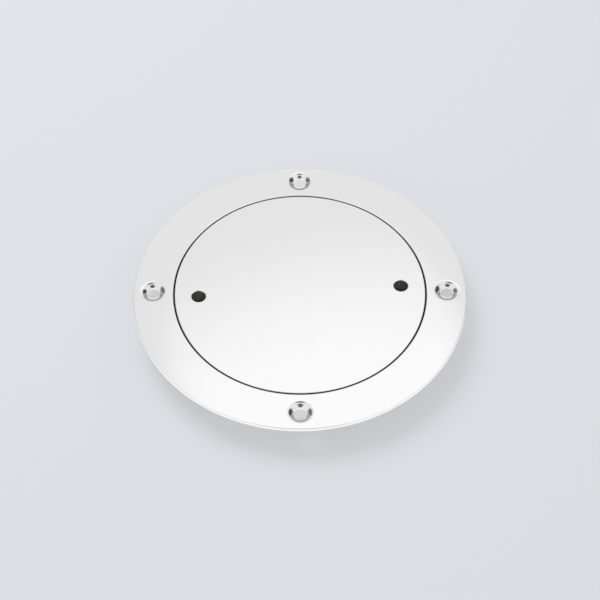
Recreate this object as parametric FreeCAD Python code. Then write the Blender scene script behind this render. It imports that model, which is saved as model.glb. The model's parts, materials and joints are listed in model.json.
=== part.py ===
import FreeCAD, Part
import math
import os

from FreeCAD import Vector

# Deck inspection plate in cast and polished stainless steel. A ring is screwed
# into a round cut-out in the deck, and a flush cover screws into the ring on a
# coarse right-hand thread and squeezes a rubber gasket.
# Millimetres. The origin is the centre of the screw circle on the deck surface,
# where the flange lies, and +Z points up out of the deck.

# Flange of the ring
FLANGE_WIDTH = 15.5  # from the recess to the rim
FLANGE_THICKNESS = 2.0
RIM_DROP = 0.4  # how far the top falls from the seam to the rim
RIM_BEVEL = 0.5

# Countersunk screw holes
SCREW_TO_RIM = 7.5  # from the rim to the middle of a hole
SCREW_COUNT = 4
SCREW_HOLE_DIAMETER = 5.2
COUNTERSINK_DIAMETER = 8.0
COUNTERSINK_ANGLE = 90.0
SINK_EDGE_WIDTH = 0.7  # the polished-over upper edge, outside the cone
SINK_EDGE_DEPTH = 0.2

# Collar that hangs in the deck cut-out
COLLAR_WALL = 2.0  # beside the recess
COLLAR_LENGTH = 11.2
COLLAR_END_BEVEL = 0.6

# Flush cover
COVER_DIAMETER = 98.0
COVER_THICKNESS = 2.4
COVER_DEPTH = 12.0  # from the top face to the end of the skirt
NECK_STEP = 0.2  # how far the neck stands out past the thread below it
SKIRT_WALL = 2.8
SKIRT_END_BEVEL = 0.6
SEAM_GAP = 0.5

# Blind sockets for a two-pin key, each in a boss under the cover
KEY_INSET = 9.35  # from the cover's edge to the middle of a socket
KEY_TURN = 3.6  # degrees from +X when the cover is tight
KEY_COUNT = 2
KEY_HOLE_DIAMETER = 5.5
KEY_HOLE_DEPTH = 7.0
DRILL_POINT_ANGLE = 118.0
BOSS_WALL = 2.0
BOSS_FLOOR = 1.2

# Square-cut rubber gasket between the cover's shoulder and the ring's ledge
GASKET_WIDTH = 2.4
GASKET_HEIGHT = 2.2  # as the tight cover squeezes it
GASKET_SIDE_CLEARANCE = 0.3

# Thread, a single start, right-handed
THREAD_PITCH = 4.0
THREAD_HEIGHT = 1.5
THREAD_FLANK_ANGLE = 30.0
THREAD_CREST_CLEARANCE = 0.3
THREAD_FLANK_CLEARANCE = 0.15
RING_THREAD_LENGTH = 4.8
SKIRT_END_LAND = 2.0  # plain length below the cover's thread
THREAD_ROOTING = 0.4  # how far a ridge reaches into the wall that carries it

# Heights that follow from the sizes above
top_z = FLANGE_THICKNESS
rim_z = top_z - RIM_DROP
shoulder_z = top_z - COVER_THICKNESS
ledge_z = shoulder_z - GASKET_HEIGHT
neck_end_z = ledge_z - THREAD_CREST_CLEARANCE
skirt_end_z = top_z - COVER_DEPTH
collar_end_z = -COLLAR_LENGTH

# Radii that follow from the sizes above
cover_radius = COVER_DIAMETER / 2
recess_radius = cover_radius + SEAM_GAP
flange_radius = recess_radius + FLANGE_WIDTH
screw_radius = flange_radius - SCREW_TO_RIM
collar_radius = recess_radius + COLLAR_WALL
neck_radius = recess_radius - GASKET_WIDTH - 2 * GASKET_SIDE_CLEARANCE
crest_radius = neck_radius - NECK_STEP
skirt_radius = crest_radius - THREAD_HEIGHT
hollow_radius = skirt_radius - SKIRT_WALL
key_radius = cover_radius - KEY_INSET
bore_radius = neck_radius + THREAD_CREST_CLEARANCE
bore_crest_radius = skirt_radius + THREAD_CREST_CLEARANCE


def point(radius, z):
    """A point of a section, in the plane of X and Z."""
    return Vector(radius, 0, z)


def turned(edges):
    """The solid that a closed section makes when it is turned about Z."""
    face = Part.Face(Part.Wire(edges))
    return face.revolve(Vector(0, 0, 0), Vector(0, 0, 1), 360)


def outline(points):
    """Straight edges through the points and back to the first."""
    return Part.makePolygon(points + points[:1]).Edges


def around(shape, count, first_angle):
    """Copies of a shape, evenly spaced about Z."""
    copies = []
    for index in range(count):
        copy = shape.copy()
        angle = first_angle + 360.0 * index / count
        copy.rotate(Vector(0, 0, 0), Vector(0, 0, 1), angle)
        copies.append(copy)
    return copies


def thread_ridge(wall_radius, tip_radius, low_z, high_z, shift):
    """A helical ridge that stands on a round wall, inside or outside it.

    Its section narrows from the wall to the tip at the flank angle, and at
    the middle of the engaged height it is half a pitch wide, less the flank
    clearance. Both ends run out on 45 degree cones.
    """
    outward = 1 if tip_radius > wall_radius else -1
    pitch_radius = (crest_radius + bore_crest_radius) / 2
    root_radius = wall_radius - outward * THREAD_ROOTING
    slope = math.tan(math.radians(THREAD_FLANK_ANGLE))
    middle = THREAD_PITCH / 4 - THREAD_FLANK_CLEARANCE / 2
    root_half = middle + slope * outward * (pitch_radius - root_radius)
    tip_half = middle - slope * outward * (tip_radius - pitch_radius)
    section = Part.Wire(outline([
        point(root_radius, -root_half),
        point(tip_radius, -tip_half),
        point(tip_radius, tip_half),
        point(root_radius, root_half),
    ]))

    turns = math.ceil((high_z - low_z) / THREAD_PITCH) + 2
    helix = Part.Wire(Part.makeHelix(THREAD_PITCH, turns * THREAD_PITCH, wall_radius).Edges)
    ridge = helix.makePipeShell([section], True, True)
    start_z = top_z + shift - THREAD_PITCH * math.ceil((top_z + shift - low_z) / THREAD_PITCH + 1)
    ridge.translate(Vector(0, 0, start_z))

    behind = wall_radius - outward * 2 * THREAD_ROOTING
    beyond = tip_radius + outward * THREAD_CREST_CLEARANCE / 2
    run_out = abs(beyond - wall_radius)
    limits = turned(outline([
        point(behind, low_z),
        point(wall_radius, low_z),
        point(beyond, low_z + run_out),
        point(beyond, high_z - run_out),
        point(wall_radius, high_z),
        point(behind, high_z),
    ]))
    return ridge.common(limits)


def top_height(radius):
    """Height of the flange's top, which falls evenly from the seam to the rim."""
    return top_z - RIM_DROP * (radius - recess_radius) / (flange_radius - recess_radius)


def screw_hole():
    """The through hole, cone and softened edge of one countersunk screw, on +X."""
    hole_radius = SCREW_HOLE_DIAMETER / 2
    cone_radius = COUNTERSINK_DIAMETER / 2
    half_angle = math.radians(COUNTERSINK_ANGLE / 2)
    face_z = top_height(screw_radius)
    cone_top_z = face_z - SINK_EDGE_DEPTH
    cone_depth = (cone_radius - hole_radius) / math.tan(half_angle)
    edge_slope = SINK_EDGE_WIDTH / SINK_EDGE_DEPTH
    tool = turned(outline([
        point(0, -FLANGE_THICKNESS),
        point(hole_radius, -FLANGE_THICKNESS),
        point(hole_radius, cone_top_z - cone_depth),
        point(cone_radius, cone_top_z),
        point(cone_radius + edge_slope * FLANGE_THICKNESS, cone_top_z + FLANGE_THICKNESS),
        point(0, cone_top_z + FLANGE_THICKNESS),
    ]))
    tool.translate(Vector(screw_radius, 0, 0))
    return tool


def make_deck_ring():
    """Flange, recess, ledge and threaded collar, cast in one piece."""
    ring = turned(outline([
        point(recess_radius, top_z),
        point(recess_radius, ledge_z),
        point(bore_radius, ledge_z),
        point(bore_radius, collar_end_z),
        point(collar_radius - COLLAR_END_BEVEL, collar_end_z),
        point(collar_radius, collar_end_z + COLLAR_END_BEVEL),
        point(collar_radius, 0),
        point(flange_radius, 0),
        point(flange_radius, rim_z - RIM_BEVEL),
        point(flange_radius - RIM_BEVEL, top_height(flange_radius - RIM_BEVEL)),
    ]))
    for hole in around(screw_hole(), SCREW_COUNT, 0):
        ring = ring.cut(hole)
    ridge = thread_ridge(
        bore_radius,
        bore_crest_radius,
        neck_end_z - RING_THREAD_LENGTH,
        neck_end_z,
        THREAD_PITCH / 2,
    )
    return ring.fuse(ridge)


def drill_point_depth():
    """Depth of the cone that the drill leaves at the bottom of a key socket."""
    return KEY_HOLE_DIAMETER / 2 / math.tan(math.radians(DRILL_POINT_ANGLE / 2))


def key_boss():
    """The boss that holds one key socket, under the lid on +X."""
    radius = KEY_HOLE_DIAMETER / 2 + BOSS_WALL
    end_z = top_z - KEY_HOLE_DEPTH - drill_point_depth() - BOSS_FLOOR
    root_z = top_z - COVER_THICKNESS / 2
    boss = turned(outline([
        point(0, root_z),
        point(radius, root_z),
        point(radius, end_z),
        point(0, end_z),
    ]))
    boss.translate(Vector(key_radius, 0, 0))
    inside_skirt = Part.makeCylinder(hollow_radius + SKIRT_WALL / 2, COVER_DEPTH, Vector(0, 0, skirt_end_z))
    return boss.common(inside_skirt)


def key_hole():
    """One drilled socket for the key, on +X."""
    radius = KEY_HOLE_DIAMETER / 2
    floor_z = top_z - KEY_HOLE_DEPTH
    hole = turned(outline([
        point(0, floor_z - drill_point_depth()),
        point(radius, floor_z),
        point(radius, top_z + COVER_THICKNESS),
        point(0, top_z + COVER_THICKNESS),
    ]))
    hole.translate(Vector(key_radius, 0, 0))
    return hole


def threaded_skirt():
    """The skirt with its thread, and with its upper end inside the lid's plate and neck."""
    inside_plate_z = shoulder_z + COVER_THICKNESS / 2
    skirt = turned(outline([
        point(skirt_radius, inside_plate_z),
        point(skirt_radius, skirt_end_z + SKIRT_END_BEVEL),
        point(skirt_radius - SKIRT_END_BEVEL, skirt_end_z),
        point(hollow_radius, skirt_end_z),
        point(hollow_radius, inside_plate_z),
    ]))
    ridge = thread_ridge(
        skirt_radius,
        crest_radius,
        skirt_end_z + SKIRT_END_LAND,
        shoulder_z,
        0,
    )
    return skirt.fuse(ridge)


def make_cover():
    """Flat lid with a threaded skirt and two key bosses, cast in one piece."""
    lid = turned(outline([
        point(0, top_z),
        point(cover_radius, top_z),
        point(cover_radius, shoulder_z),
        point(neck_radius, shoulder_z),
        point(neck_radius, neck_end_z),
        point(hollow_radius, neck_end_z),
        point(hollow_radius, shoulder_z),
        point(0, shoulder_z),
    ]))
    cover = lid.fuse(threaded_skirt())
    for boss in around(key_boss(), KEY_COUNT, KEY_TURN):
        cover = cover.fuse(boss)
    for hole in around(key_hole(), KEY_COUNT, KEY_TURN):
        cover = cover.cut(hole)
    return cover


def make_gasket():
    """The flat ring of rubber that lies on the ledge, around the cover's neck."""
    inner_radius = neck_radius + GASKET_SIDE_CLEARANCE
    outer_radius = inner_radius + GASKET_WIDTH
    return turned(outline([
        point(inner_radius, ledge_z),
        point(outer_radius, ledge_z),
        point(outer_radius, shoulder_z),
        point(inner_radius, shoulder_z),
    ]))


nodes = {
    "deck_ring": make_deck_ring(),
    "cover": make_cover(),
    "gasket": make_gasket(),
}

os.makedirs("parts", exist_ok=True)
for name, shape in nodes.items():
    solid = shape.Solids[0]
    volume = round(solid.Volume / 1000, 2)
    print(name, len(shape.Solids), "solid", volume, "cm3", "valid" if shape.isValid() else "NOT VALID")
    solid.exportStep("parts/" + name + ".step")
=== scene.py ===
import json
import math

import bmesh
import bpy
import numpy as np
from mathutils import Matrix, Vector


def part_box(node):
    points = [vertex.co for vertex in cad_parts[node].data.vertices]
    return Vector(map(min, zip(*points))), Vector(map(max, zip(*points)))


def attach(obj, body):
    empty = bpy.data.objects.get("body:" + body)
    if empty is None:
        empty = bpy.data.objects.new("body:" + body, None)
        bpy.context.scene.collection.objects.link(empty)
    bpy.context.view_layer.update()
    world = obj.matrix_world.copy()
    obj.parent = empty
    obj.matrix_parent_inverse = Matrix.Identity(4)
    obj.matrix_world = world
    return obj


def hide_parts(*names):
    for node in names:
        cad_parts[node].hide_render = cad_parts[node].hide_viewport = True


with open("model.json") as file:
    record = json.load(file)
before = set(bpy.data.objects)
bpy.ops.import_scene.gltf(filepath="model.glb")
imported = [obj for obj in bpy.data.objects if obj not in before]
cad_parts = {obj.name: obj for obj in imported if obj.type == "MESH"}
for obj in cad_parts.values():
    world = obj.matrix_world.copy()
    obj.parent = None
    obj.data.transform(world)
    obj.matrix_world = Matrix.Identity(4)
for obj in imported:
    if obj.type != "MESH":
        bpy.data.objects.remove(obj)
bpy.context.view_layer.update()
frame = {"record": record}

# Deck ring. One investment casting in 316 stainless steel: a flange that lies on the deck, a recess and
# a ledge for the cover, and a threaded collar in the deck cut-out. Its top is buffed to a mirror, the
# recess, thread and collar are turned, and the underside stays as blasted. Sizes are in millimetres.

MM = 0.001
FULL_TURN = 2 * math.pi
mounts = {mount["name"]: mount for mount in frame["record"]["mounts"]}

flange_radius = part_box("deck_ring")[1].x / MM
top_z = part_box("deck_ring")[1].z / MM
collar_end_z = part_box("deck_ring")[0].z / MM
collar_radius = mounts["collar_spigot"]["dims"]["r_mm"]
cover_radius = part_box("cover")[1].x / MM
ledge_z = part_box("gasket")[0].z / MM

SEAM_GAP = 0.5
RECESS_ROUND = 0.3
LEDGE_WIDTH = 2.7
RIM_DROP = 0.4
RIM_ROUND = 0.2
FOOT_ROUND = 0.2
COLLAR_FILLET = 0.4
COLLAR_END_ROUND = 0.6
SMALL_ROUND = 0.15

recess_radius = cover_radius + SEAM_GAP
bore_radius = recess_radius - LEDGE_WIDTH


def top_height(radius):
    """Height of the flange's top: level at the recess, and falling with the square of the way to the rim."""
    way = (radius - recess_radius) / (flange_radius - recess_radius)
    return top_z - RIM_DROP * way**2


def rounded(corners, steps=8):
    """A path of (radius, z) points through corners given as (radius, z, rounding).

    Each rounding is a circle arc that touches both sides of its corner. It starts and ends at a distance of
    rounding / tan(half) from the corner, and its centre lies rounding / sin(half) away, on the line that
    halves the corner's angle.
    """
    path = [np.array([corners[0][:2]])]
    share = np.linspace(0, 1, steps + 1)[:, None]
    for before, corner, after in zip(corners, corners[1:], corners[2:]):
        place = np.array(corner[:2])
        back = np.array(before[:2]) - place
        on = np.array(after[:2]) - place
        back = back / np.linalg.norm(back)
        on = on / np.linalg.norm(on)
        half = math.acos(float(back @ on)) / 2
        centre = place + (back + on) / np.linalg.norm(back + on) * corner[2] / math.sin(half)
        start = place + back * corner[2] / math.tan(half) - centre
        end = place + on * corner[2] / math.tan(half) - centre
        sweep = math.pi - 2 * half
        arc = start * np.sin((1 - share) * sweep) + end * np.sin(share * sweep)
        path.append(centre + arc / math.sin(sweep))
    path.append(np.array([corners[-1][:2]]))
    return np.concatenate(path)


def turned(path, turns):
    """A path of (radius, z) points turned about Z: row i, column j is point i of the path at angle j."""
    radius = path[:, 0, None]
    z = np.broadcast_to(path[:, 1, None], (len(path), len(turns)))
    return np.stack([radius * np.cos(turns), radius * np.sin(turns), z], axis=-1)


THREAD_FLANK = math.tan(math.radians(30))
MIDDLE_RADIUS = 45.7  # of the height over which the two threads engage
THREAD_HALF_WIDTH = 0.925  # of a ridge at that radius
THREAD_SOFTENING = 0.15  # way up and down over which a ridge's height is averaged
SOFTENING_STEPS = 7
ROWS_PER_PITCH = 32
RING_RIDGE = 1.7
RING_THREAD_TOP = 0.3  # below the ledge
RING_THREAD_LENGTH = 4.8

thread_pitch = frame["record"]["behaviour"]["couplings"][0]["ratio"] * FULL_TURN / MM


def thread_wall(turns, low, high, wall, ridge, ridge_z, top_runs_out):
    """A round wall with a helical ridge, which points inwards if the ridge's height is negative.

    Row i, column j lies at z = row + pitch * turn, kept between low and high, so that the rows follow the
    helix. The ridge's height is the way to its foot divided by the flank's slope, no more than the full
    height, averaged over a short way so that its corners are soft. It fades out at 45 degrees at the ends.
    """
    rows = np.arange(low - thread_pitch, high + thread_pitch, thread_pitch / ROWS_PER_PITCH)
    lead = thread_pitch * turns / FULL_TURN
    z = np.clip(rows[:, None] + lead, low, high)
    soften = np.linspace(-THREAD_SOFTENING, THREAD_SOFTENING, SOFTENING_STEPS)
    off = (z - lead - ridge_z)[..., None] + soften
    off = np.abs((off + thread_pitch / 2) % thread_pitch - thread_pitch / 2)
    foot = THREAD_HALF_WIDTH + THREAD_FLANK * abs(MIDDLE_RADIUS - wall)
    height = np.clip((foot - off) / THREAD_FLANK, 0, abs(ridge)).mean(axis=-1)
    height = np.minimum(height, z - low)
    if top_runs_out:
        height = np.minimum(height, high - z)
    radius = wall + math.copysign(1, ridge) * height
    return np.stack([radius * np.cos(turns), radius * np.sin(turns), z], axis=-1)


def sector(radii, turns, height):
    """A flat or crowned field of a disc: row i, column j is radius i at angle j, with z from the radius."""
    return turned(np.stack([radii, height(radii)], axis=-1), turns)


def cell_outline(radii, turns):
    """The closed edge of a field between two radii and two angles, as (x, y) points."""
    inner = np.full(len(turns), radii[0])
    outer = np.full(len(turns), radii[-1])
    first = np.full(len(radii), turns[0])
    last = np.full(len(radii), turns[-1])
    radius = np.concatenate([inner, radii, outer, radii[::-1]])
    angle = np.concatenate([turns, last, turns[::-1], first])
    return np.stack([radius * np.cos(angle), radius * np.sin(angle)], axis=-1)


def spread(start, end, count, guard):
    """Evenly spaced values, with one more close to each end that keeps the shading of a flat field flat."""
    inside = np.linspace(start + guard, end - guard, count)
    return np.concatenate([[start], inside, [end]])


CELL_ROWS = 12
CELL_ROWS_END = 0.97  # share of the way to the mouth; one short row more keeps the flat field's shading flat


def bored_cell(outline, centre, mouth_radius, height):
    """The top of a cell round a hole, from its outline in straight lines to the circle of the hole's mouth.

    A point lies at outline * (1 - t) + mouth * t, with t from 0 to 1 down the rows, and takes its z from its
    radius. The second result is each column's (x, y) direction from the hole's middle, for the rows below.
    """
    away = outline - centre
    directions = away / np.linalg.norm(away, axis=1, keepdims=True)
    share = np.concatenate([np.linspace(0, CELL_ROWS_END, CELL_ROWS), [1]])[:, None, None]
    flat = outline * (1 - share) + (centre + directions * mouth_radius) * share
    z = height(np.linalg.norm(flat, axis=-1, keepdims=True))
    return np.concatenate([flat, z], axis=-1), directions


def hole_wall(path, centre, directions, height):
    """The inside of a hole from its path of (radius, depth), where depth counts down from the surface.

    A point lies at the hole's middle plus its column's direction times the radius, and its z is the height of
    the surface there less the depth.
    """
    flat = centre + directions[None] * path[:, 0, None, None]
    z = height(np.linalg.norm(flat, axis=-1, keepdims=True)) - path[:, 1, None, None]
    return np.concatenate([flat, z], axis=-1)


screw_count = mounts["screw_circle"]["dims"]["count"]
screw_radius = mounts["screw_circle"]["dims"]["pcd_mm"] / 2
hole_radius = mounts["screw_circle"]["dims"]["hole_r_mm"]

SINK_RADIUS = 4.1  # where the sink's cone would meet the top
SINK_SLOPE = math.radians(36.0)
SINK_ROUND = 4.0
HOLE_FOOT_ROUND = 0.1
CELL_HALF_ANGLE = math.radians(7.3)
CELL_COLUMNS = 25
PLAIN_COLUMNS = 61
FLANGE_ROWS = 23
UNDER_ROWS = 7
FIELD_GUARD = 0.15

sink_mouth = SINK_RADIUS + SINK_ROUND * math.tan(SINK_SLOPE / 2)
sink_depth = (SINK_RADIUS - hole_radius) * math.tan(SINK_SLOPE)
top_radii = spread(recess_radius + RECESS_ROUND, flange_radius - RIM_ROUND, FLANGE_ROWS, FIELD_GUARD)
under_radii = spread(collar_radius + COLLAR_FILLET, flange_radius - FOOT_ROUND, FLANGE_ROWS, FIELD_GUARD)
cell_turns = np.linspace(-CELL_HALF_ANGLE, CELL_HALF_ANGLE, CELL_COLUMNS)
plain_turns = np.linspace(CELL_HALF_ANGLE, FULL_TURN / screw_count - CELL_HALF_ANGLE, PLAIN_COLUMNS)
hole_turns = FULL_TURN / screw_count * np.arange(screw_count)
ring_turns = np.concatenate([turn + part for turn in hole_turns for part in (cell_turns, plain_turns)])

POLISHED, TURNED, BLASTED, DRILLED = range(4)  # places in a piece's list of materials


def deck_surface(radius):
    """Height of the flange's underside, which lies flat on the deck."""
    return np.zeros_like(radius)


def screw_hole(turn):
    """One countersunk hole and the flange round it, down through the flange and out along its underside.

    The sink is a soft dish, as buffing leaves it: a straight cone whose upper edge is rounded away. On the
    underside a point lies at circle * (1 - t) + outline * t, with t from 0 to 1.
    """
    centre = screw_radius * np.array([math.cos(turn), math.sin(turn)])
    outline = cell_outline(top_radii, cell_turns + turn)
    under_outline = cell_outline(under_radii, cell_turns + turn)
    top, directions = bored_cell(outline, centre, sink_mouth, top_height)
    sink = rounded([
        (sink_mouth, 0),
        (SINK_RADIUS, 0, SINK_ROUND),
        (hole_radius, sink_depth, SMALL_ROUND),
        (hole_radius, sink_depth + SMALL_ROUND),
    ])[:-1]
    foot = rounded([
        (hole_radius, -HOLE_FOOT_ROUND),
        (hole_radius, 0, HOLE_FOOT_ROUND),
        (hole_radius + HOLE_FOOT_ROUND, 0),
    ], 4)
    upper = hole_wall(sink, centre, directions, top_height)
    lower = hole_wall(foot, centre, directions, deck_surface)
    share = np.linspace(0, 1, UNDER_ROWS)[:, None, None]
    circle = centre + directions * (hole_radius + HOLE_FOOT_ROUND)
    under = circle * (1 - share) + under_outline * share
    under = np.concatenate([under, np.zeros(under.shape[:2] + (1,))], axis=-1)
    return [(np.concatenate([top, upper, lower]), POLISHED), (under, BLASTED)]


def ring_patches():
    """All surfaces of the ring, each with its finish."""
    patches = []
    for turn in hole_turns:
        patches += screw_hole(turn)
        patches.append((sector(top_radii, plain_turns + turn, top_height), POLISHED))
        patches.append((sector(under_radii, plain_turns + turn, deck_surface), BLASTED))
    shoulder_z = float(top_height(top_radii[-1]))
    rim = rounded([
        (top_radii[-1], shoulder_z),
        (flange_radius, shoulder_z, RIM_ROUND),
        (flange_radius, 0, FOOT_ROUND),
        (under_radii[-1], 0),
    ])
    seam = rounded([
        (top_radii[0], top_z),
        (recess_radius, top_z, RECESS_ROUND),
        (recess_radius, top_z - RECESS_ROUND),
    ])
    thread_high = ledge_z - RING_THREAD_TOP
    thread_low = thread_high - RING_THREAD_LENGTH
    recess = rounded([
        (recess_radius, top_z - RECESS_ROUND),
        (recess_radius, ledge_z, SMALL_ROUND),
        (bore_radius, ledge_z, SMALL_ROUND),
        (bore_radius, thread_high),
    ])
    collar = rounded([
        (bore_radius, thread_low),
        (bore_radius, collar_end_z, SMALL_ROUND),
        (collar_radius, collar_end_z, COLLAR_END_ROUND),
        (collar_radius, 0, COLLAR_FILLET),
        (under_radii[0], 0),
    ])
    ridge_z = top_z - thread_pitch / 2
    thread = thread_wall(ring_turns, thread_low, thread_high, bore_radius, -RING_RIDGE, ridge_z, True)
    patches.append((turned(rim, ring_turns), POLISHED))
    patches.append((turned(seam, ring_turns), POLISHED))
    patches.append((turned(recess, ring_turns), TURNED))
    patches.append((thread, TURNED))
    patches.append((turned(collar, ring_turns), TURNED))
    return patches


WELD = 2e-7  # metres; points nearer to each other than this become one
SHARP_ANGLE = math.radians(32)


def weld(name, patches, materials):
    """One closed mesh from patches of points in millimetres, whose edges and poles are merged.

    Each cell of a patch becomes a quad of the points (i, j), (i, j + 1), (i + 1, j + 1) and (i + 1, j).
    """
    points = []
    quads = []
    finishes = []
    count = 0
    for grid, finish in patches:
        rows, columns = grid.shape[:2]
        index = count + np.arange(rows * columns).reshape(rows, columns)
        quad = np.stack([index[:-1, :-1], index[:-1, 1:], index[1:, 1:], index[1:, :-1]], axis=-1)
        points.append(grid.reshape(-1, 3) * MM)
        quads.append(quad.reshape(-1, 4))
        finishes.append(np.full((rows - 1) * (columns - 1), finish))
        count += rows * columns
    mesh = bpy.data.meshes.new(name)
    mesh.from_pydata(np.concatenate(points), [], np.concatenate(quads))
    mesh.polygons.foreach_set("material_index", np.concatenate(finishes).astype(np.int32))
    for material in materials:
        mesh.materials.append(material)
    shell = bmesh.new()
    shell.from_mesh(mesh)
    bmesh.ops.remove_doubles(shell, verts=shell.verts, dist=WELD)
    bmesh.ops.recalc_face_normals(shell, faces=shell.faces)
    shell.to_mesh(mesh)
    shell.free()
    mesh.shade_smooth()
    mesh.set_sharp_from_angle(angle=SHARP_ANGLE)
    piece = bpy.data.objects.new(name, mesh)
    bpy.context.scene.collection.objects.link(piece)
    return piece


def linear(colour):
    """Linear RGBA of an sRGB hex colour: c becomes ((c + 0.055) / 1.055) ** 2.4, or c / 12.92 where dark."""
    channels = [int(colour[start:start + 2], 16) / 255 for start in (1, 3, 5)]
    return [((c + 0.055) / 1.055) ** 2.4 if c > 0.04045 else c / 12.92 for c in channels] + [1.0]


def add(tree, kind, inputs=(), **settings):
    """Adds one node, sets its settings, and sets or links its inputs by name or number.

    A Mix node has inputs of each type under one name, so it takes numbers: 0 is the share, 2 and 3 are the
    two values that it mixes, and 6 and 7 the two colours.
    """
    node = tree.nodes.new("ShaderNode" + kind)
    for name, value in settings.items():
        setattr(node, name, value)
    for name, value in dict(inputs).items():
        if isinstance(value, bpy.types.NodeSocket):
            tree.links.new(value, node.inputs[name])
        else:
            node.inputs[name].default_value = value
    return node


def start_material(name):
    """A new material with an empty node tree, its Principled shader and the Object coordinates."""
    material = bpy.data.materials.new(name)
    material.use_nodes = True
    tree = material.node_tree
    tree.nodes.clear()
    shader = add(tree, "BsdfPrincipled")
    add(tree, "OutputMaterial", {"Surface": shader.outputs[0]})
    place = add(tree, "TexCoord").outputs["Object"]
    return material, tree, shader, place


def mirror_polished_steel():
    """316 buffed to a mirror on a soft wheel: nearly colourless, with clear reflections.

    Hand buffing leaves a faint swell on a casting, patches of slightly duller polish, and the finest hairs.
    """
    SWELL = 16.0  # about the width of the wheel
    SWELL_HEIGHT = 0.010
    PATCH = 7.0  # about the length over which the wheel's pressure changes
    CLEAREST = 0.035
    DULLEST = 0.075
    HAIR = 0.7  # real buffing hairs are near 0.02 mm apart; drawn as coarse as shows
    HAIR_HEIGHT = 0.0006
    material, tree, shader, place = start_material("mirror_polished_316_steel")
    shader.inputs["Base Color"].default_value = linear("#EBEBEB")
    shader.inputs["Metallic"].default_value = 1.0
    swell = add(tree, "TexNoise", {"Vector": place, "Scale": 1 / (SWELL * MM), "Detail": 1.0})
    hair = add(tree, "TexNoise", {"Vector": place, "Scale": 1 / (HAIR * MM), "Detail": 3.0})
    patch = add(tree, "TexNoise", {"Vector": place, "Scale": 1 / (PATCH * MM), "Detail": 4.0})
    dull = add(tree, "MapRange", {
        "Value": patch.outputs[0],
        "From Min": 0.35,
        "From Max": 0.75,
        "To Min": CLEAREST,
        "To Max": DULLEST,
    })
    coarse = add(tree, "Bump", {"Height": swell.outputs[0], "Distance": SWELL_HEIGHT * MM})
    fine = add(tree, "Bump", {
        "Height": hair.outputs[0],
        "Distance": HAIR_HEIGHT * MM,
        "Normal": coarse.outputs[0],
    })
    tree.links.new(dull.outputs[0], shader.inputs["Roughness"])
    tree.links.new(fine.outputs[0], shader.inputs["Normal"])
    return material


def turned_steel():
    """316 straight from the lathe: satin, with the fine circular grooves of the tool round the axis."""
    GROOVE = 0.3  # real feed is near 0.1 mm; drawn as coarse as shows
    GROOVE_HEIGHT = 0.010
    material, tree, shader, place = start_material("turned_316_steel")
    shader.inputs["Base Color"].default_value = linear("#CFCECB")
    shader.inputs["Metallic"].default_value = 1.0
    across = add(tree, "VectorMath", {0: place, 1: (1, 1, 0)}, operation="MULTIPLY")
    radius = add(tree, "VectorMath", {0: across.outputs[0]}, operation="LENGTH")
    parts = add(tree, "SeparateXYZ", {0: place})
    way = add(tree, "Math", {0: radius.outputs["Value"], 1: parts.outputs[2]}, operation="ADD")
    groove = add(tree, "TexNoise", {"W": way.outputs[0], "Scale": 1 / (GROOVE * MM)}, noise_dimensions="1D")
    rough = add(tree, "MapRange", {"Value": groove.outputs[0], "To Min": 0.2, "To Max": 0.38})
    bump = add(tree, "Bump", {"Height": groove.outputs[0], "Distance": GROOVE_HEIGHT * MM})
    tree.links.new(rough.outputs[0], shader.inputs["Roughness"])
    tree.links.new(bump.outputs[0], shader.inputs["Normal"])
    return material


def blasted_steel():
    """The skin of the casting after bead blasting: matt grey, with a fine grain and cloudy patches."""
    GRAIN = 0.45  # real dents of the beads are near 0.1 mm across; drawn as coarse as shows
    GRAIN_HEIGHT = 0.035
    CLOUD = 9.0  # about the width of the jet
    material, tree, shader, place = start_material("blasted_316_casting")
    shader.inputs["Metallic"].default_value = 1.0
    cloud = add(tree, "TexNoise", {"Vector": place, "Scale": 1 / (CLOUD * MM), "Detail": 3.0})
    tone = add(tree, "Mix", {
        0: cloud.outputs[0],
        6: linear("#8D8D8B"),
        7: linear("#A9A9A6"),
    }, data_type="RGBA")
    grain = add(tree, "TexNoise", {"Vector": place, "Scale": 1 / (GRAIN * MM), "Detail": 2.0})
    rough = add(tree, "MapRange", {"Value": grain.outputs[0], "To Min": 0.42, "To Max": 0.62})
    bump = add(tree, "Bump", {"Height": grain.outputs[0], "Distance": GRAIN_HEIGHT * MM})
    tree.links.new(tone.outputs[2], shader.inputs["Base Color"])
    tree.links.new(rough.outputs[0], shader.inputs["Roughness"])
    tree.links.new(bump.outputs[0], shader.inputs["Normal"])
    return material


polished_steel = mirror_polished_steel()
lathe_steel = turned_steel()
casting_skin = blasted_steel()

deck_ring = weld("deck_ring_casting", ring_patches(), [polished_steel, lathe_steel, casting_skin])
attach(deck_ring, "ring")
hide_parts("deck_ring")

# Gasket. A flat ring cut from nitrile rubber sheet, square in section. It lies on the ring's ledge round
# the cover's neck, and its sides bulge a little because the tight cover squeezes it.

GASKET_WIDTH = 2.4
GASKET_ROUND = 0.15
GASKET_BULGE = 0.1
GASKET_STEP = 0.1

gasket_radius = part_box("gasket")[1].x / MM
shoulder_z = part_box("gasket")[1].z / MM


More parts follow.
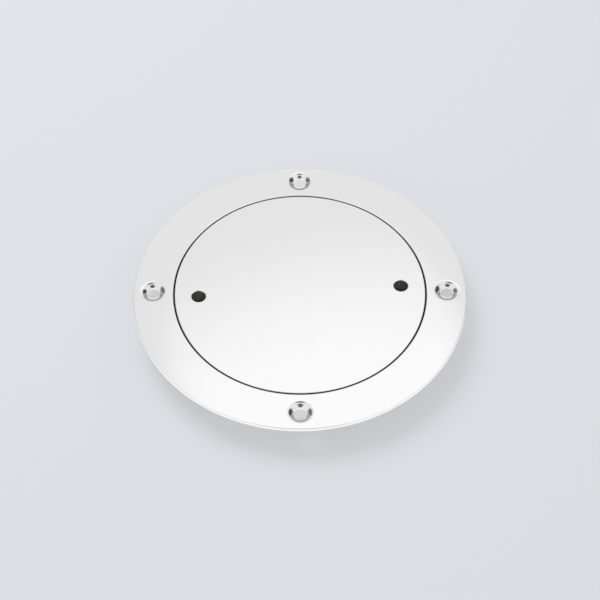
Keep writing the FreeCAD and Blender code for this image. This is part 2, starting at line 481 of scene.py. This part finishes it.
def gasket_patches():
    """A closed section turned about Z, in even steps.

    Its outer and inner sides stand out of the square section by the bulge times 1 - t * t, where t goes from
    -1 at the ledge to 1 at the cover's shoulder.
    """
    inner_radius = gasket_radius - GASKET_WIDTH
    middle_radius = gasket_radius - GASKET_WIDTH / 2
    corners = rounded([
        (middle_radius, ledge_z),
        (gasket_radius, ledge_z, GASKET_ROUND),
        (gasket_radius, shoulder_z, GASKET_ROUND),
        (inner_radius, shoulder_z, GASKET_ROUND),
        (inner_radius, ledge_z, GASKET_ROUND),
        (middle_radius, ledge_z),
    ], 4)
    way = np.concatenate([[0], np.cumsum(np.linalg.norm(np.diff(corners, axis=0), axis=1))])
    even = np.linspace(0, way[-1], round(way[-1] / GASKET_STEP) + 1)
    radius = np.interp(even, way, corners[:, 0])
    z = np.interp(even, way, corners[:, 1])
    rise = 2 * (z - ledge_z) / (shoulder_z - ledge_z) - 1
    side = (radius - middle_radius) / (GASKET_WIDTH / 2)
    section = np.stack([radius + GASKET_BULGE * (1 - rise**2) * side, z], axis=-1)
    return [(turned(section, ring_turns), 0)]


def nitrile_rubber():
    """Black nitrile sheet: matt, with the fine grain of the calender roll and a faint grey bloom.

    Its index of refraction is near 1.5, which is the shader's own.
    """
    GRAIN = 0.35  # real grain is near 0.1 mm; drawn as coarse as shows
    GRAIN_HEIGHT = 0.02
    BLOOM = 5.0
    material, tree, shader, place = start_material("black_nitrile_sheet")
    bloom = add(tree, "TexNoise", {"Vector": place, "Scale": 1 / (BLOOM * MM), "Detail": 3.0})
    tone = add(tree, "Mix", {
        0: bloom.outputs[0],
        6: linear("#161617"),
        7: linear("#29292A"),
    }, data_type="RGBA")
    grain = add(tree, "TexNoise", {"Vector": place, "Scale": 1 / (GRAIN * MM), "Detail": 2.0})
    rough = add(tree, "MapRange", {"Value": grain.outputs[0], "To Min": 0.6, "To Max": 0.8})
    bump = add(tree, "Bump", {"Height": grain.outputs[0], "Distance": GRAIN_HEIGHT * MM})
    tree.links.new(tone.outputs[2], shader.inputs["Base Color"])
    tree.links.new(rough.outputs[0], shader.inputs["Roughness"])
    tree.links.new(bump.outputs[0], shader.inputs["Normal"])
    return material


gasket = weld("neck_gasket", gasket_patches(), [nitrile_rubber()])
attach(gasket, "seal")
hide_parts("gasket")

# Cover. The second casting, a flat lid with a threaded skirt and two bosses below it, each bored for a pin
# of the key. Its top is buffed to the same mirror as the ring's, and the sockets stay as drilled.

COVER_ROUND = 0.2
SHOULDER_ROUND = 0.25
GASKET_SIDE_GAP = 0.3
COVER_RIDGE = 1.5
SKIRT_RADIUS = 44.8
SKIRT_WALL = 2.8
SKIRT_END_LAND = 2.0
SKIRT_END_ROUND = 0.6
CEILING_FILLET = 1.5
SOCKET_DEPTH = 7.0
SOCKET_MOUTH_ROUND = 0.3
DRILL_POINT_ANGLE = 118.0
BOSS_WALL = 2.0
BOSS_FLOOR = 1.2
BOSS_EDGE_ROUND = 0.5
BOSS_ROOT_ANGLE = math.radians(2.0)
NOSE_COLUMNS = 13
ROOT_COLUMNS = 7
FIELD_COLUMNS = 121

key_place = mounts["key_socket_a"]["pos_m"]
key_radius = math.hypot(key_place[0], key_place[1]) / MM
key_turn = math.atan2(key_place[1], key_place[0])
socket_radius = mounts["key_socket_a"]["dims"]["r_mm"]
boss_radius = socket_radius + BOSS_WALL
drill_depth = socket_radius / math.tan(math.radians(DRILL_POINT_ANGLE / 2))
boss_end_z = top_z - SOCKET_DEPTH - drill_depth - BOSS_FLOOR
skirt_end_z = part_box("cover")[0].z / MM
neck_radius = gasket_radius - GASKET_WIDTH - GASKET_SIDE_GAP
neck_end_z = ledge_z - RING_THREAD_TOP
hollow_radius = SKIRT_RADIUS - SKIRT_WALL


def boss_side():
    """Half of a boss's outline seen from the axis, as angles from the boss's middle and radii.

    The nose is a circle arc as far as the angle at which it is seen widest. From there a quarter of an
    ellipse runs out into the skirt's wall, first straight outwards and then along the wall.
    """
    swing = np.linspace(math.pi, math.pi / 2 + math.asin(boss_radius / key_radius), NOSE_COLUMNS)
    x = key_radius + boss_radius * np.cos(swing)
    y = boss_radius * np.sin(swing)
    nose_turns = np.arctan2(y, x)
    nose_radii = np.hypot(x, y)
    sweep = np.linspace(0, math.pi / 2, ROOT_COLUMNS)[1:]
    root_turns = nose_turns[-1] + BOSS_ROOT_ANGLE * (1 - np.cos(sweep))
    root_radii = nose_radii[-1] + (hollow_radius - nose_radii[-1]) * np.sin(sweep)
    return np.concatenate([nose_turns, root_turns]), np.concatenate([nose_radii, root_radii])


side_turns, side_radii = boss_side()
boss_turns = np.concatenate([-side_turns[:0:-1], side_turns])
boss_radii = np.concatenate([side_radii[:0:-1], side_radii])
field_turns = np.linspace(side_turns[-1], math.pi - side_turns[-1], FIELD_COLUMNS)
key_turns = key_turn + np.array([0, math.pi])
cover_turns = np.concatenate([turn + part for turn in key_turns for part in (boss_turns, field_turns)])
inner_walls = np.tile(np.concatenate([boss_radii, np.full(len(field_turns), hollow_radius)]), len(key_turns))


def lid_top(radius):
    """Height of the lid's top, which is flat."""
    return np.full_like(radius, top_z)


def key_socket(turn):
    """One blind socket and the lid's top round it, down the bore to the point that the drill left."""
    centre = key_radius * np.array([math.cos(turn), math.sin(turn)])
    outline = cell_outline(cell_radii, boss_turns + turn)
    top, directions = bored_cell(outline, centre, socket_radius + SOCKET_MOUTH_ROUND, lid_top)
    mouth = rounded([
        (socket_radius + SOCKET_MOUTH_ROUND, 0),
        (socket_radius, 0, SOCKET_MOUTH_ROUND),
        (socket_radius, SOCKET_MOUTH_ROUND),
    ])
    bore = np.array([
        (socket_radius, SOCKET_MOUTH_ROUND),
        (socket_radius, SOCKET_DEPTH),
        (0, SOCKET_DEPTH + drill_depth),
    ])
    upper = hole_wall(mouth, centre, directions, lid_top)
    lower = hole_wall(bore, centre, directions, lid_top)
    return [(np.concatenate([top, upper]), POLISHED), (lower, DRILLED)]


RUN_ROWS = 5
QUARTER_ROWS = 7


def lid_inside():
    """The hollow side of the cover, from the skirt's end up the wall and over to the middle.

    The wall steps in to the outline of a boss where there is one: each column runs up the skirt to the boss's
    end, in to the boss, up its side, and through a fillet into the ceiling. A straight run is
    start * (1 - t) + end * t, and an edge or fillet is a quarter of a circle, worked out from its angle.
    """
    edge = np.minimum(BOSS_EDGE_ROUND, (hollow_radius - inner_walls) / 2)
    share = np.linspace(0, 1, RUN_ROWS)[:, None]
    quarter = np.linspace(0, math.pi / 2, QUARTER_ROWS)[:, None]
    skirt_z = skirt_end_z + SKIRT_END_ROUND
    ceiling_z = shoulder_z - CEILING_FILLET
    runs = [
        (hollow_radius, skirt_z * (1 - share) + boss_end_z * share),
        (hollow_radius * (1 - share) + (inner_walls + edge) * share, boss_end_z),
        (inner_walls + edge * (1 - np.sin(quarter)), boss_end_z + edge * (1 - np.cos(quarter))),
        (inner_walls, (boss_end_z + edge) * (1 - share) + ceiling_z * share),
        (inner_walls - CEILING_FILLET * (1 - np.cos(quarter)), ceiling_z + CEILING_FILLET * np.sin(quarter)),
        ((inner_walls - CEILING_FILLET) * (1 - share), shoulder_z),
    ]
    full = [np.broadcast_arrays(radius, z, cover_turns)[:2] for radius, z in runs]
    radius, z = np.concatenate(full, axis=1)
    return np.stack([radius * np.cos(cover_turns), radius * np.sin(cover_turns), z], axis=-1)


CELL_HALF_WIDTH = 6.0
DISC_ROWS = 9
EDGE_ROWS = 3
cell_radii = np.linspace(key_radius - CELL_HALF_WIDTH, key_radius + CELL_HALF_WIDTH, CELL_COLUMNS)
disc_radii = np.linspace(0, cell_radii[0], DISC_ROWS)
edge_radii = spread(cell_radii[-1], cover_radius - COVER_ROUND, EDGE_ROWS, FIELD_GUARD)


def cover_patches():
    """All surfaces of the cover, each with its finish."""
    patches = [
        (sector(disc_radii, cover_turns, lid_top), POLISHED),
        (sector(edge_radii, cover_turns, lid_top), POLISHED),
        (lid_inside(), BLASTED),
    ]
    for turn in key_turns:
        patches += key_socket(turn)
        patches.append((sector(cell_radii, field_turns + turn, lid_top), POLISHED))
    seam = rounded([
        (edge_radii[-1], top_z),
        (cover_radius, top_z, COVER_ROUND),
        (cover_radius, top_z - COVER_ROUND),
    ])
    neck = rounded([
        (cover_radius, top_z - COVER_ROUND),
        (cover_radius, shoulder_z, SHOULDER_ROUND),
        (neck_radius, shoulder_z, SHOULDER_ROUND),
        (neck_radius, neck_end_z, SMALL_ROUND),
        (neck_radius - SMALL_ROUND, neck_end_z),
    ])
    thread_low = skirt_end_z + SKIRT_END_LAND
    thread = thread_wall(cover_turns, thread_low, neck_end_z, SKIRT_RADIUS, COVER_RIDGE, top_z, False)
    neck_foot = turned(neck[-1:], cover_turns)
    skirt = rounded([
        (SKIRT_RADIUS, thread_low),
        (SKIRT_RADIUS, skirt_end_z, SKIRT_END_ROUND),
        (hollow_radius, skirt_end_z, SKIRT_END_ROUND),
        (hollow_radius, skirt_end_z + SKIRT_END_ROUND),
    ])
    patches.append((turned(seam, cover_turns), POLISHED))
    patches.append((turned(neck, cover_turns), TURNED))
    patches.append((np.concatenate([neck_foot, thread[-1:]]), TURNED))
    patches.append((thread, TURNED))
    patches.append((turned(skirt, cover_turns), TURNED))
    return patches


def drilled_steel_with_painted_shade():
    """A blind socket's bore: unpolished, ringed by the drill, and darker as painted shade of its depth."""
    RING = 0.4  # real drill marks are near 0.1 mm apart; drawn as coarse as shows
    RING_HEIGHT = 0.02
    material, tree, shader, place = start_material("drilled_316_steel")
    # a darker grey than the turned steel's: painted shade for the depth of the bore
    shader.inputs["Base Color"].default_value = linear("#B8B8B6")
    shader.inputs["Metallic"].default_value = 1.0
    parts = add(tree, "SeparateXYZ", {0: place})
    ring = add(tree, "TexNoise", {"W": parts.outputs[2], "Scale": 1 / (RING * MM)}, noise_dimensions="1D")
    rough = add(tree, "MapRange", {"Value": ring.outputs[0], "To Min": 0.4, "To Max": 0.6})
    bump = add(tree, "Bump", {"Height": ring.outputs[0], "Distance": RING_HEIGHT * MM})
    tree.links.new(rough.outputs[0], shader.inputs["Roughness"])
    tree.links.new(bump.outputs[0], shader.inputs["Normal"])
    return material


cover = weld("cover_casting", cover_patches(), [polished_steel, lathe_steel, casting_skin, drilled_steel_with_painted_shade()])
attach(cover, "lid")
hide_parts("cover")

# Floor. A pale plain table top on which the collar stands. It is no part of the plate. It takes the plate's
# soft shadow, and the polished metal shows white in its place.

FLOOR_SIZE = 6000.0
FLOOR_GAP = 0.02  # below the collar's end, whose face would else lie in the floor's
FLOOR_GLOW = 0.7  # share of its colour that the camera sees even in the shade
MIRROR_GLOW = 1.1  # level of the white that the metal shows in its place

floor_material = bpy.data.materials.new("pale_table_top")
floor_material.use_nodes = True
floor_tree = floor_material.node_tree
floor_tree.nodes.clear()
floor_colour = linear("#D8DBDF")
paths = add(floor_tree, "LightPath")
seen = add(floor_tree, "Math", {0: paths.outputs["Is Camera Ray"], 1: FLOOR_GLOW}, operation="MULTIPLY")
matt = add(floor_tree, "BsdfDiffuse", {"Color": floor_colour})
pale = add(floor_tree, "Emission", {"Color": floor_colour, "Strength": 1.0})
white = add(floor_tree, "Emission", {"Color": (1, 1, 1, 1), "Strength": MIRROR_GLOW})
in_view = add(floor_tree, "MixShader", {0: seen.outputs[0], 1: matt.outputs[0], 2: pale.outputs[0]})
in_metal = add(floor_tree, "MixShader", {
    0: paths.outputs["Is Glossy Ray"],
    1: in_view.outputs[0],
    2: white.outputs[0],
})
add(floor_tree, "OutputMaterial", {"Surface": in_metal.outputs[0]})

half = FLOOR_SIZE / 2
floor_corners = np.array([(-half, -half), (half, -half), (half, half), (-half, half)])
floor_points = np.column_stack([floor_corners, np.full(4, collar_end_z - FLOOR_GAP)]) * MM
floor_mesh = bpy.data.meshes.new("table_top")
floor_mesh.from_pydata(floor_points, [], [(0, 1, 2, 3)])
floor_mesh.materials.append(floor_material)
floor = bpy.data.objects.new("table_top", floor_mesh)
bpy.context.scene.collection.objects.link(floor)

# Light. A pale room that shows in shiny surfaces alone. It grows brighter with height, and has a bright
# field high up behind the plate, a dimmer wall below that field, and dark patches to both sides, overhead
# and where the camera stands. One broad lamp gives the plate its soft shadow. Angles are in degrees.

HORIZON_LEVEL = 0.5
ROOM_LEVEL = 0.932
ROOM_RISE = 43.0  # elevation up to which the room grows brighter
AMBIENT_LEVEL = 0.62  # of the even light on what doesn't shine

# Each round patch has a level, an azimuth to the right of straight ahead, an elevation, and the angles from
# its middle to where it starts to fade and to where it is gone.
BRIGHT_FIELD = (1.16, 4.2, 60.5, 6.1, 11.8)
LEFT_PATCH = (0.2, -53.0, 36.0, 13.0, 23.0)
RIGHT_PATCH = (0.09, 53.0, 36.0, 13.0, 23.0)
CAMERA_PATCH = (0.14, 180.0, 65.0, 11.0, 21.0)
OVERHEAD_PATCH = (0.12, 0.0, 79.5, 4.0, 11.0)

WALL_LEVEL = 0.43
WALL_HALF_WIDTH = 40.0
WALL_SIDE_EDGE = 9.0
WALL_TOP = 33.0
WALL_TOP_EDGE = 8.0


def direction(azimuth, elevation):
    """Unit vector from the angle to the right of +Y and the angle above the horizon, both in degrees."""
    turn = math.radians(azimuth)
    rise = math.radians(elevation)
    return (math.sin(turn) * math.cos(rise), math.cos(turn) * math.cos(rise), math.sin(rise))


world = bpy.data.worlds.new("studio")
bpy.context.scene.world = world
world.use_nodes = True
sky = world.node_tree
sky.nodes.clear()
ray = add(sky, "TexCoord").outputs["Generated"]
rays = add(sky, "LightPath")
level_ray = add(sky, "VectorMath", {0: ray, 1: (1, 1, 0)}, operation="MULTIPLY")
compass = add(sky, "VectorMath", {0: level_ray.outputs[0]}, operation="NORMALIZE")
ray_z = add(sky, "SeparateXYZ", {0: ray}).outputs[2]


def patch_in_room(room, level, azimuth, elevation, reach, edge):
    """The room with a round patch mixed in.

    Its share follows the cosine of the angle from its middle: 1 within the reach, 0 past the edge, and a
    smooth step between the two.
    """
    near = add(sky, "VectorMath", {0: ray, 1: direction(azimuth, elevation)}, operation="DOT_PRODUCT")
    share = add(sky, "MapRange", {
        "Value": near.outputs["Value"],
        "From Min": math.cos(math.radians(edge)),
        "From Max": math.cos(math.radians(reach)),
    }, interpolation_type="SMOOTHSTEP")
    return add(sky, "Mix", {0: share.outputs[0], 2: room, 3: level}).outputs[0]


def wall_in_room(room):
    """The room with a wall mixed in straight ahead, from the floor up.

    Its share is a smooth step across its side edges, from the cosine of the azimuth, times a smooth step
    down its top edge, from the sine of the elevation.
    """
    near = add(sky, "VectorMath", {0: compass.outputs[0], 1: direction(0, 0)}, operation="DOT_PRODUCT")
    beside = add(sky, "MapRange", {
        "Value": near.outputs["Value"],
        "From Min": math.cos(math.radians(WALL_HALF_WIDTH + WALL_SIDE_EDGE)),
        "From Max": math.cos(math.radians(WALL_HALF_WIDTH - WALL_SIDE_EDGE)),
    }, interpolation_type="SMOOTHSTEP")
    below = add(sky, "MapRange", {
        "Value": ray_z,
        "From Min": math.sin(math.radians(WALL_TOP - WALL_TOP_EDGE)),
        "From Max": math.sin(math.radians(WALL_TOP + WALL_TOP_EDGE)),
        "To Min": 1.0,
        "To Max": 0.0,
    }, interpolation_type="SMOOTHSTEP")
    share = add(sky, "Math", {0: beside.outputs[0], 1: below.outputs[0]}, operation="MULTIPLY")
    return add(sky, "Mix", {0: share.outputs[0], 2: room, 3: WALL_LEVEL}).outputs[0]


room = add(sky, "MapRange", {
    "Value": ray_z,
    "From Min": 0.0,
    "From Max": math.sin(math.radians(ROOM_RISE)),
    "To Min": HORIZON_LEVEL,
    "To Max": ROOM_LEVEL,
}, interpolation_type="SMOOTHSTEP").outputs[0]
room = patch_in_room(room, *BRIGHT_FIELD)
room = wall_in_room(room)
for dark_patch in (LEFT_PATCH, RIGHT_PATCH, CAMERA_PATCH, OVERHEAD_PATCH):
    room = patch_in_room(room, *dark_patch)
in_mirror = add(sky, "Mix", {0: rays.outputs["Is Glossy Ray"], 2: AMBIENT_LEVEL, 3: room})
behind = add(sky, "Mix", {
    0: rays.outputs["Is Camera Ray"],
    6: (1, 1, 1, 1),
    7: floor_colour,
}, data_type="RGBA")
level = add(sky, "Mix", {0: rays.outputs["Is Camera Ray"], 2: in_mirror.outputs[0], 3: 1.0})
backdrop = add(sky, "Background", {"Color": behind.outputs[2], "Strength": level.outputs[0]})
add(sky, "OutputWorld", {"Surface": backdrop.outputs[0]})

LAMP_SIZE = 700.0
LAMP_DISTANCE = 1100.0
LAMP_POWER = 9.0
LAMP_AZIMUTH = -40.0
LAMP_ELEVATION = 58.0

lamp_data = bpy.data.lights.new("broad_lamp", "AREA")
lamp_data.size = LAMP_SIZE * MM
lamp_data.energy = LAMP_POWER
lamp = bpy.data.objects.new("broad_lamp", lamp_data)
lamp.location = Vector(direction(LAMP_AZIMUTH, LAMP_ELEVATION)) * LAMP_DISTANCE * MM
lamp.rotation_euler = lamp.location.to_track_quat("Z", "Y").to_euler()
lamp.visible_glossy = False
bpy.context.scene.collection.objects.link(lamp)

# Camera. It stands in front of the plate and looks down on it at the angle of the photograph.

VIEW_ELEVATION = 51.84
VIEW_DISTANCE = 745.0
VIEW_ROLL = -0.2
VIEW_AIM = (0, -4.5)  # the point of the plate's top that is in the middle of the picture
FOCAL_LENGTH = 114.66  # of the lens, for a sensor 36 mm wide

ahead = -Vector(direction(180.0, VIEW_ELEVATION))
level_right = Vector((1, 0, 0))
level_up = level_right.cross(ahead)
roll = math.radians(VIEW_ROLL)
right = math.cos(roll) * level_right + math.sin(roll) * level_up
up = math.cos(roll) * level_up - math.sin(roll) * level_right
camera_data = bpy.data.cameras.new("camera")
camera_data.lens = FOCAL_LENGTH
camera = bpy.data.objects.new("camera", camera_data)
aim = Vector((*VIEW_AIM, top_z)) * MM
facing = Matrix((right, up, -ahead)).transposed().to_4x4()
camera.matrix_world = Matrix.Translation(aim - ahead * VIEW_DISTANCE * MM) @ facing
bpy.context.scene.collection.objects.link(camera)
bpy.context.scene.camera = camera

bpy.context.scene.view_settings.view_transform = "Standard"
